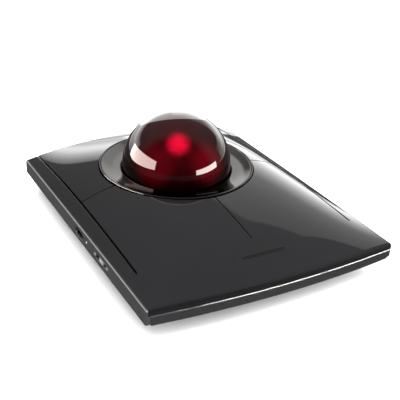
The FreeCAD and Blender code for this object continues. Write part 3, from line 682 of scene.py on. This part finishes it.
# Columns of points across each scored groove, as shares of the groove's width, and the
# grooves: place along X, edge rounding and width.
GROOVE_STEPS = (-0.41, -0.33, -0.25, -0.17, -0.09, 0.09, 0.17, 0.25, 0.33, 0.41)
GROOVES = ((-PLATE_X, SIDE_ROUND, 1.7), (0.0, GROOVE_ROUND, 1.0), (PLATE_X, SIDE_ROUND, 1.7))
GROOVE_CLEAR = 0.3               # from a groove's points to the plain ones beside it
END_STEPS, SIDE_STEPS = 50, 124  # sides of half the front edge, and of a side
UPPER_ARC_STEPS, LOWER_ARC_STEPS = 64, 44  # sides of the plates' edges around the ring
ROW_STEP = 0.8                   # spacing of the points along the scored grooves


def groove_columns():
    """Places along X that the scored grooves need."""
    return [line + step * wide for line, _, wide in GROOVES for step in GROOVE_STEPS]


def frame_outline():
    """Edge of the gloss top: straight sides, bowed front and back."""
    plain = [FRAME_X * k / END_STEPS for k in range(-END_STEPS, END_STEPS + 1)]
    near = [x for x in plain if all(abs(x - g) > GROOVE_CLEAR for g in groove_columns())]
    back = sorted(near + groove_columns(), reverse=True)
    end = HALF_LENGTH + bow(FRAME_X)
    rows = list(np.linspace(FRONT_ROUND + CORNER_STEP - end, end - BACK_ROUND - CORNER_STEP, SIDE_STEPS))
    front = [(x, -HALF_LENGTH - bow(x), FRONT_ROUND) for x in plain[:-1]]
    right = [(FRAME_X, y, GROOVE_ROUND) for y in [-end] + rows]
    rear = [(x, HALF_LENGTH + bow(x), BACK_ROUND) for x in back[:-1]]
    left = [(-FRAME_X, y, GROOVE_ROUND) for y in [end] + rows[::-1]]
    return front + right + rear + left


def scored_points():
    """Columns of points that shape the scored grooves behind the flexing line."""
    rows = np.arange(FLEX_BACK + GROOVE_CLEAR, HALF_LENGTH - BACK_ROUND, ROW_STEP)
    return [(x, y) for x in groove_columns() for y in rows]


def gloss_frame():
    """The fixed part of the gloss top, around the four plates."""
    inside = [x for x in groove_columns() if abs(x) < WINDOW_X - RUN]
    window = [(-WINDOW_X, FLEX_FRONT, SEAM_ROUND), (WINDOW_X, FLEX_FRONT, SEAM_ROUND),
              (WINDOW_X, PLATE_FRONT, SIDE_ROUND), (WINDOW_X, FLEX_BACK, SEAM_ROUND)]
    window += [(x, FLEX_BACK, SEAM_ROUND) for x in sorted(inside, reverse=True)]
    window += [(-WINDOW_X, FLEX_BACK, SIDE_ROUND), (-WINDOW_X, PLATE_FRONT, SEAM_ROUND)]
    hole = turned(fill_in(window, EDGE_SPAN))
    slot = turned(fill_in(pill(0, INLAY_Y, INLAY_HALF_X, INLAY_HALF_Y, INLAY_ROUND), EDGE_SPAN))

    def edge_low(x, y):
        return SEAM if abs(y) >= HALF_LENGTH else dome(x, y) - SIDE_SKIRT

    return crowned(Build(), [frame_outline(), hole, slot], scored_dome,
                   [edge_low, shell_under, shell_under], SPAN, scored_points())


def plate_outline(upper):
    """Edge of a right-hand plate. Past its flexing line it fills the fixed top's window."""
    r = GROOVE_ROUND
    inner_x, outer_x = GAP / 2, WINDOW_X - GAP
    reach = math.degrees(math.acos(inner_x / PLATE_HOLE))
    split = PLATE_SPLIT + (GAP / 2 if upper else -GAP / 2)
    turn = math.degrees(math.asin((split - BALL_Y) / PLATE_HOLE))
    if upper:
        path = [(outer_x, split, SIDE_ROUND), (outer_x, FLEX_BACK, SEAM_ROUND), (inner_x, FLEX_BACK, r)]
        return fill_in(path + arc(0, BALL_Y, PLATE_HOLE, reach, turn, UPPER_ARC_STEPS, r), EDGE_SPAN)
    path = [(0, FLEX_FRONT, SEAM_ROUND), (WINDOW_X, FLEX_FRONT, SEAM_ROUND),
            (WINDOW_X, PLATE_FRONT, r), (outer_x, PLATE_FRONT, SIDE_ROUND), (outer_x, split, r)]
    path += arc(0, BALL_Y, PLATE_HOLE, turn, -reach, LOWER_ARC_STEPS, r)
    return fill_in(path + [(inner_x, PLATE_FRONT, r), (0, PLATE_FRONT, SEAM_ROUND)], EDGE_SPAN)


def mirrored(outline):
    """The same outline on the other side of the middle."""
    return [(-x, y, r) for x, y, r in turned(outline)]


def under_place(u, v, h):
    """The underside: u and v lie flat and h points down."""
    return Vector((u, -v, -h))


def press_plate(side, upper):
    """One flexing plate, with the post under it that works its switch."""
    outline = plate_outline(upper)
    if side < 0:
        outline = mirrored(outline)
    build = crowned(Build(), [outline], dome, [shell_under], SPAN)
    x, y = side * SWITCH_X, SWITCH_UPPER_Y if upper else SWITCH_LOWER_Y
    post = Build(under_place)
    crowned(post, [circle(x, -y, PUSHER_R, PUSHER_ROUND)], lambda u, v: -PUSHER_LOW,
            [lambda u, v: POST_SUNK - dome(u, -v)], None)
    return build, post


def joined(name, builds):
    """One mesh from several builds."""
    whole = Build()
    for build in builds:
        start = len(whole.verts)
        whole.verts += build.verts
        whole.faces += [[start + i for i in corners] for corners in build.faces]
        whole.normals += build.normals
    return whole.mesh(name)


piece("gloss_top", gloss_frame().mesh("gloss_top"), "housing", "gloss_top", ["top_shell"])
for side, side_name in ((-1, "left"), (1, "right")):
    for upper, row_name in ((False, "lower"), (True, "upper")):
        body = f"{row_name}_{side_name}_button"
        plate = piece(f"{row_name}_{side_name}_plate", joined(body, press_plate(side, upper)), body,
                      "gloss_top", [body], ride=False)
        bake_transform(plate)


def inlay():
    """Plain dark pill let into the top."""
    outline = fill_in(pill(0, INLAY_Y, INLAY_HALF_X - RUN, INLAY_HALF_Y - RUN, INLAY_ROUND), EDGE_SPAN)
    return crowned(Build(), [outline], lambda x, y: dome(x, y) - RUN,
                   [lambda x, y: dome(x, y) - INLAY_THICK], INLAY_HALF_Y)


piece("inlay_pill", inlay().mesh("inlay_pill"), "housing", "inlay_black", ["front_inlay"])


# ---- side caps ----
def cap_holes(side, deep):
    """Openings of the left cap, in its own plane: port, light, and slider."""
    if side > 0:
        return []
    slider = rounded_box(-SLIDER_Y - STEM_HALF, -SLIDER_Y + STEM_HALF, PORT_Z - STEM_TALL / 2,
                         PORT_Z + STEM_TALL / 2, SLOT_CORNER, HOLE_ROUND)
    if not deep:
        slider = rounded_box(-SLIDER_Y - SLIDER_HALF, -SLIDER_Y + SLIDER_HALF, PORT_Z - SLIDER_TALL / 2,
                             PORT_Z + SLIDER_TALL / 2, SLIDER_CORNER, OPENING_ROUND)
    port = pill(-PORT_Y, PORT_Z, PORT_WIDE / 2, PORT_TALL / 2, OPENING_ROUND)
    return [turned(o) for o in (port, circle(-LIGHT_Y, PORT_Z, LIGHT_R, HOLE_ROUND), slider)]


def side_cap(side):
    """End cap: an outer plate whose edge shows beside the gloss top, and a body behind it."""
    top_round, end_round, under_round = CAP_ROUNDS[side]
    outer, inner = HALF_WIDTH - CAP_LIP, HALF_WIDTH - CAP_THICK
    r, far = CAP_CORNER, HALF_LENGTH - CAP_CORNER
    ys = [HALF_LENGTH * (1 - 2 * k / CAP_STEPS) for k in range(CAP_STEPS + 1)]
    rim = [(y, dome(outer, y), top_round) for y in ys if abs(y) < far]
    outline = arc(-far, EDGE_UNDER + r, r, 180, 270, CORNER_STEPS, under_round)
    outline += arc(far, EDGE_UNDER + r, r, 270, 360, CORNER_STEPS, end_round)
    outline += arc(far, rim[0][1] - r, r, 0, 90, CORNER_STEPS, top_round) + rim
    outline += arc(-far, rim[-1][1] - r, r, 90, 180, CORNER_STEPS, end_round)
    outline = fill_in(outline, CAP_SPAN)

    def place(u, v, h):
        return Vector((side * h, side * u, v))

    plate = Build(place)
    holes = cap_holes(side, False)
    crowned(plate, [outline] + holes, lambda u, v: HALF_WIDTH, [lambda u, v: outer] * (1 + len(holes)),
            2 * SPAN)
    body = Build(place)
    box = rounded_box(-HALF_LENGTH, HALF_LENGTH, EDGE_UNDER, BODY_TOP, CAP_CORNER, RUN)
    holes = cap_holes(side, True)
    crowned(body, [fill_in(box, CAP_SPAN)] + holes, lambda u, v: outer,
            [lambda u, v: inner] * (1 + len(holes)), 2 * SPAN)
    return plate, body


for side, side_name in ((-1, "left"), (1, "right")):
    piece(f"{side_name}_cap", joined(side_name, side_cap(side)), "housing", "cap_charcoal",
          [f"{side_name}_side_cap"])


# ---- bright strip along the front ----
def trim():
    """Strip along the front seam that wraps the right-hand corner."""
    corner = CAP_ROUNDS[1][1]
    left = -HALF_WIDTH + CAP_THICK
    right = HALF_WIDTH - corner
    path = []
    for k in range(TRIM_STEPS + 1):
        x = left + (right - left) * k / TRIM_STEPS
        lean = (bow(x + REACH) - bow(x - REACH)) / (2 * REACH)
        path.append((x, -HALF_LENGTH - bow(x), Vector((-lean, -1, 0)).normalized()))
    for k in range(1, TRIM_TURNS + 1):
        turn = math.radians(-90 + 90 * k / TRIM_TURNS)
        away = Vector((math.cos(turn), math.sin(turn), 0))
        path.append((right + corner * away.x, -HALF_LENGTH + corner + corner * away.y, away))
    path.append((HALF_WIDTH, -HALF_LENGTH + corner + TRIM_WRAP, Vector((1, 0, 0))))
    low, r = SEAM - TRIM_TALL, TRIM_ROUND
    section = [(-TRIM_DEEP, low), (TRIM_PROUD - r, low)]
    section += [(TRIM_PROUD - r + r * math.sin(a), low + r - r * math.cos(a)) for a in TRIM_ARC]
    section += [(d, 2 * low + TRIM_TALL - z) for d, z in reversed(section)]
    verts = [Vector((x + away.x * d, y + away.y * d, z)) * MM
             for x, y, away in path for d, z in section]
    size = len(section)
    faces = [[i * size + k, (i + 1) * size + k, (i + 1) * size + (k + 1) % size, i * size + (k + 1) % size]
             for i in range(len(path) - 1) for k in range(size)]
    faces += [list(range(size)), [(len(path) - 1) * size + k for k in reversed(range(size))]]
    return new_mesh("trim", verts, faces)


soften(piece("front_strip", trim(), "housing", "bright_trim", ["front_trim"]))


# ---- ball, ring and rim ----
def curve_round(cx, cz, r, start, end, count=CORNER_STEPS):
    """Rounded corner of a turned profile."""
    return [(x, z) for x, z, _ in arc(cx, cz, r, start, end, count, 0)]


def dished_ring():
    """Dished ring that slopes down to the ball."""
    r = RING_ROUND
    profile = [(RING_IN, RING_LOW), (RING_OUT, RING_LOW)]
    profile += curve_round(RING_OUT - r, RING_OUTER_Z - r, r, 0, 80)
    first, last = (RING_OUT - r, RING_OUTER_Z), (RING_IN + r, RING_INNER_Z)
    for k in range(1, RING_STEPS):
        share = k / RING_STEPS
        sag = RING_SAG * math.sin(math.pi * share)
        profile.append((first[0] + (last[0] - first[0]) * share,
                        first[1] + (last[1] - first[1]) * share - sag))
    profile += curve_round(RING_IN + r, RING_INNER_Z - r, r, 100, 180)
    return lathe(profile)


def bright_rim():
    """Thin polished edge of the ring."""
    r = (RIM_OUT - RIM_IN) / 2
    profile = [(RIM_IN, RING_LOW), (RIM_OUT, RING_LOW)]
    profile += curve_round(RIM_IN + r, RIM_Z - r, r, 0, 180, RIM_STEPS)
    return lathe(profile)


def ball():
    """The ball, as a fine evenly faced sphere."""
    shape = bmesh.new()
    bmesh.ops.create_icosphere(shape, subdivisions=6, radius=BALL_R * MM,
                               matrix=Matrix.Translation(Vector((0, BALL_Y, BALL_Z)) * MM))
    data = bpy.data.meshes.new("ball")
    shape.to_mesh(data)
    shape.free()
    return data


soften(piece("dished_ring", dished_ring(), "housing", "bezel_dark", ["bezel_ring"]))
soften(piece("bright_rim", bright_rim(), "housing", "rim_bright", ["bezel_rim"]))
soften(piece("red_ball", ball(), "ball", "ball_red", ["ball"]), 180)


# ---- left side details ----
def left_place(u, v, h):
    """The left face: u runs towards the user, v up and h outwards."""
    return Vector((-h, -u, v))


def slider():
    """Slider pad with ridges across it, on its stem."""
    low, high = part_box("mode_slider")
    middle = -(low.y + high.y) / 2 / MM
    half = (high.y - low.y) / 2 / MM
    face = -low.x / MM

    def ridged(u, v):
        return face - RIDGE_DEEP * (0.5 - 0.5 * math.cos(math.tau * (u - middle) / RIDGE_PITCH))

    pad = Build(left_place)
    outline = rounded_box(middle - half, middle + half, low.z / MM, high.z / MM, PAD_CORNER, PAD_ROUND)
    back = HALF_WIDTH - CAP_LIP + RUN / 2
    crowned(pad, [fill_in(outline, PAD_STEP)], ridged, [lambda u, v: back], PAD_GRID)
    stem = Build(left_place)
    shape = rounded_box(middle - STEM_LONG / 2, middle + STEM_LONG / 2, PORT_Z - STEM_HIGH / 2,
                        PORT_Z + STEM_HIGH / 2, STEM_CORNER, STEM_ROUND)
    crowned(stem, [shape], lambda u, v: back + RUN, [lambda u, v: -high.x / MM], None)
    return pad, stem


def status_lens():
    """Small domed light pipe."""
    low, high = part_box("status_light")
    radius = (high.z - low.z) / 2 / MM
    face = -low.x / MM

    def domed(u, v):
        return face - LENS_DOME * ((u + LIGHT_Y) ** 2 + (v - PORT_Z) ** 2) / radius ** 2

    build = Build(left_place)
    return crowned(build, [circle(-LIGHT_Y, PORT_Z, radius, LENS_ROUND)], domed,
                   [lambda u, v: -high.x / MM], LENS_GRID)


def mode_marks():
    """Two plain oval marks, one at each end of the slider's travel."""
    marks = []
    for end in (-1, 1):
        mark = Build(left_place)
        outline = pill(-SLIDER_Y + end * MARK_AWAY, PORT_Z, MARK_LONG, MARK_TALL, MARK_THICK)
        marks.append(crowned(mark, [outline], lambda u, v: HALF_WIDTH + MARK_THICK,
                             [lambda u, v: HALF_WIDTH - MARK_THICK], None))
    return marks


piece("mode_marks", joined("marks", mode_marks()), "housing", "slider_grey")
piece("ridged_slider", joined("slider", slider()), "mode_slider", "slider_grey", ["mode_slider"])
piece("status_lens", status_lens().mesh("lens"), "housing", "light_pipe", ["status_light"])


# ---- underside ----
def foot(low, high):
    """Rubber pad with a softly crowned face."""
    x0, x1, y0, y1 = low.x / MM, high.x / MM, -high.y / MM, -low.y / MM
    middle, half = (y0 + y1) / 2, (y1 - y0) / 2
    build = Build(under_place)
    outline = pill((x0 + x1) / 2, middle, (x1 - x0) / 2, half, FOOT_ROUND, FOOT_STEPS)
    return crowned(build, [fill_in(outline, EDGE_SPAN)],
                   lambda u, v: -FOOT_CROWN * ((v - middle) / half) ** 2,
                   [lambda u, v: -high.z / MM], FOOT_GRID)


def key(low, high):
    """Round button with a dished face and the flange that holds it."""
    x, y, radius = (low.x + high.x) / 2 / MM, -(low.y + high.y) / 2 / MM, KEY_R
    face = -low.z / MM

    def dished(u, v):
        return face - KEY_DISH * (1 - ((u - x) ** 2 + (v - y) ** 2) / radius ** 2)

    cap = Build(under_place)
    crowned(cap, [circle(x, y, radius, KEY_ROUND, KEY_STEPS)], dished, [lambda u, v: -KEY_SEAT],
            KEY_GRID)
    flange = Build(under_place)
    crowned(flange, [circle(x, y, (high.x - low.x) / 2 / MM, FLANGE_ROUND, KEY_STEPS)],
            lambda u, v: -KEY_SEAT, [lambda u, v: -high.z / MM], None)
    return cap, flange


for k in range(1, 5):
    name = f"rubber_foot_{k}"
    piece(f"foot_pad_{k}", foot(*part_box(name)).mesh(name), "housing", "foot_rubber", [name])
for name in ("speed_button", "pairing_button"):
    piece(name.replace("button", "key"), joined(name, key(*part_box(name))), name, "key_grey", [name])


# ---- finishes of the CAD parts that stay ----
for part in node.values():
    for used in part.material_slots:
        used.material = FINISHES[used.material.name.split(".")[0]]


# ---- studio ----
FLOOR_HALF = 6.0
AHEAD = (0.51, 0.86)             # the way the main view looks, from above
FLOOR_MIRRORED = (0.03,) * 3     # the floor's colour in mirrored surfaces on the near side
FLOOR_DIM_TO = (0.32, 0.42)      # metres ahead over which that fades out
BACKDROP = 0.95                  # brightness of the world where the camera sees it
# Brightness of the overhead, the wall behind and the wall beside, over degrees of height or
# azimuth, and the edges of the walls: from, to, value at from, value at to, and if smooth.
OVERHEAD_HIGH, OVERHEAD_AHEAD = (20, 42, 0.32, 0.46), (-0.3, -0.02, 0.12, 1)
BEHIND_HIGH = ((11, 21, 4.4, 1.35), (3, 9, 0.55, 1, True))
BEHIND_SIDES, BEHIND_TOP = ((-50, -44, 0, 1, True), (21, 23, 1, 0, True)), (20.6, 21.6, 1, 0, True)
BESIDE_HIGH = ((24, 41, 1.5, 1.0), (6, 24, 3.2, 1.0))
BESIDE_ALONG = ((28, 35, 1.4, 1, True), (60, 90, 1, 0.35, True))
BESIDE_SIDES, BESIDE_TOP = ((21, 23, 0, 1, True), (92, 102, 1, 0, True)), (-0.4, 0.4, 1, 0, True)
BESIDE_RISE, BESIDE_FALL = (32, 44, 35.5, 42.2, True), (52, 74, 0, 26)
# Name, azimuth and height, metres away, width, height, watts, tilt, colour, shape, what it reaches.
SOFTBOXES = (
    ("softbox_left", (-71, 9), 0.42, 0.62, 0.15, 4.6, 7, (1, 0.84, 0.78), "RECTANGLE",
     ["red_ball", "dished_ring", "bright_rim", "left_cap"]),
    ("softbox_right", (143, 2), 0.5, 0.46, 0.085, 2.4, 0, (1, 0.93, 0.88), "RECTANGLE",
     ["red_ball", "front_strip"]),
    ("halo_behind", (23, 22), 0.5, 0.50, 0.58, 2.5, 0, (1, 1, 1), "ELLIPSE", ["red_ball"]),
)
FILLS = (("fill_front", 150, 40), ("fill_left", -110, 16))
FILL_HEIGHT, FILL_AWAY, FILL_WIDE = 40, 1.3, 1.4
OVER_AWAY, OVER_WIDE, OVER_POWER = 1.6, 2.2, 60
# Soft spots that lift the red of the ball: name, place as a normal, radius in mm, watts.
GLOWS = (("glow_main", (-0.33, -0.64, 0.70), 6.3, 75), ("glow_wide", (-0.33, -0.64, 0.70), 20.0, 2.6),
         ("glow_left", (-0.76, -0.56, 0.34), 12.0, 5.5), ("glow_right", (0.14, -0.89, 0.36), 11.5, 8))
SPOT_AWAY, SPOT_SOFT = 0.12, 0.002


def direction(azimuth, elevation):
    """Unit vector; azimuth turns from +Y towards +X."""
    a, e = math.radians(azimuth), math.radians(elevation)
    return Vector((math.sin(a) * math.cos(e), math.cos(a) * math.cos(e), math.sin(e)))


def ahead(n, place):
    """How far (x, y, z) sockets lie towards the back right, the way the main view looks."""
    return n.math("ADD", n.math("MULTIPLY", place[1], AHEAD[1]), n.math("MULTIPLY", place[0], AHEAD[0]))


def floor_material():
    """Pale paper that looks dimmer in mirrored surfaces on the near side."""
    material = surface((0.90, 0.90, 0.90), 0.9, tone=0.005, tone_size=0.4, spread=0.02, grain=0.01,
                       depth=0.00001, Specular_IOR_Level=0.1)
    material.name = "floor_white"
    n = Nodes(material, False)
    near = n.span(ahead(n, n.axes(n.geometry("Position"))), *FLOOR_DIM_TO, 1, 0, True)
    mirrored = n.product(n.new("ShaderNodeLightPath").outputs["Is Glossy Ray"], near)
    n.turn_to(mirrored, n.tree.nodes["Principled BSDF"].inputs["Base Color"], FLOOR_MIRRORED)
    return material


def floor():
    """Large pale matte floor."""
    size = FLOOR_HALF
    data = new_mesh("floor", [(-size, -size, 0), (size, -size, 0), (size, size, 0), (-size, size, 0)],
                    [(0, 1, 2, 3)])
    data.materials.append(floor_material())
    new_object("floor", data)


def studio_world():
    """Soft studio: dim overhead, a pale wall behind and a taller pale wall to the right."""
    world = bpy.data.worlds.new("studio")
    bpy.context.scene.world = world
    n = Nodes(world)
    way = n.axes(n.new("ShaderNodeTexCoord").outputs["Generated"])
    around = n.math("DEGREES", n.math("ARCTAN2", way[0], way[1]))
    height = n.math("DEGREES", n.math("ARCSINE", way[2]))
    overhead = n.product(n.span(height, *OVERHEAD_HIGH), n.span(ahead(n, way), *OVERHEAD_AHEAD))
    behind = n.product(*(n.span(height, *part) for part in BEHIND_HIGH))
    beside = n.product(*(n.span(height, *part) for part in BESIDE_HIGH),
                       *(n.span(around, *part) for part in BESIDE_ALONG))
    top = n.math("SUBTRACT", n.span(around, *BESIDE_RISE), n.span(around, *BESIDE_FALL))
    over = n.math("SUBTRACT", height, top)
    in_behind = n.product(*(n.span(around, *part) for part in BEHIND_SIDES), n.span(height, *BEHIND_TOP))
    in_beside = n.product(*(n.span(around, *part) for part in BESIDE_SIDES), n.span(over, *BESIDE_TOP))
    glow = n.mix(in_behind, overhead, behind, "FLOAT")
    glow = n.mix(in_beside, glow, beside, "FLOAT")
    seen = n.mix(n.new("ShaderNodeLightPath").outputs["Is Camera Ray"], glow, BACKDROP, "FLOAT")
    back = n.new("ShaderNodeBackground")
    n.link(seen, back.inputs["Strength"])
    n.link(back.outputs[0], n.new("ShaderNodeOutputWorld").inputs[0])


def lamp(name, kind, middle, away, power, glossy=False, tilt=0.0, only=(), spared=(), **settings):
    """Light at middle, facing along away. It shows in mirrored surfaces or lights the matte
    ones. It reaches only some pieces, or all but those spared."""
    data = bpy.data.lights.new(name, kind)
    data.energy = power
    for setting, value in settings.items():
        setattr(data, setting, value)
    obj = new_object(name, data)
    facing = away.to_track_quat("-Z", "Y").to_matrix().to_4x4()
    obj.matrix_world = Matrix.Translation(middle) @ facing @ Matrix.Rotation(math.radians(tilt), 4, "Z")
    obj.visible_glossy = glossy
    obj.visible_diffuse = not glossy
    obj.visible_camera = False
    if only or spared:
        group = bpy.data.collections.new(name)
        for linked in only or spared:
            group.objects.link(bpy.data.objects[linked])
            group.collection_objects[-1].light_linking.link_state = "INCLUDE" if only else "EXCLUDE"
        obj.light_linking.receiver_collection = group


def studio():
    """Floor, world, softboxes, fills and the soft spots on the ball."""
    floor()
    studio_world()
    centre = Vector((0, BALL_Y, BALL_Z)) * MM
    for name, aim, away, wide, tall, power, tilt, colour, shape, only in SOFTBOXES:
        out = direction(*aim)
        lamp(name, "AREA", centre + out * away, -out, power, True, tilt, only, color=colour,
             shape=shape, size=wide, size_y=tall)
    for name, azimuth, power in FILLS:
        out = direction(azimuth, FILL_HEIGHT)
        lamp(name, "AREA", out * FILL_AWAY, -out, power, spared=["red_ball"], size=FILL_WIDE)
    lamp("overhead", "AREA", Vector((0, 0, OVER_AWAY)), Vector((0, 0, -1)), OVER_POWER, size=OVER_WIDE)
    for name, normal, radius, power in GLOWS:
        out = Vector(normal)
        lamp(name, "SPOT", centre + out.normalized() * (BALL_R * MM + SPOT_AWAY), -out, power,
             only=["red_ball"], spot_size=2 * math.atan(radius * MM / SPOT_AWAY), spot_blend=1.0,
             shadow_soft_size=SPOT_SOFT)


def camera():
    """Camera at the angle of view."""
    a, e, roll = (math.radians(v) for v in (AZIMUTH, ELEVATION, ROLL))
    back = Vector((math.sin(a) * math.cos(e), -math.cos(a) * math.cos(e), math.sin(e)))
    right = Vector((0, 0, 1)).cross(back).normalized()
    up = back.cross(right)
    right, up = (right * math.cos(roll) + up * math.sin(roll), up * math.cos(roll) - right * math.sin(roll))
    data = bpy.data.cameras.new("camera")
    data.lens, data.sensor_width = LENS, SENSOR
    data.clip_start = 0.01
    obj = new_object("camera", data)
    turn = Matrix((right, up, back)).transposed().to_4x4()
    obj.matrix_world = Matrix.Translation((Vector(TARGET) + back * DISTANCE) * MM) @ turn
    bpy.context.scene.camera = obj


studio()
camera()
bpy.context.scene.view_settings.view_transform = "Standard"
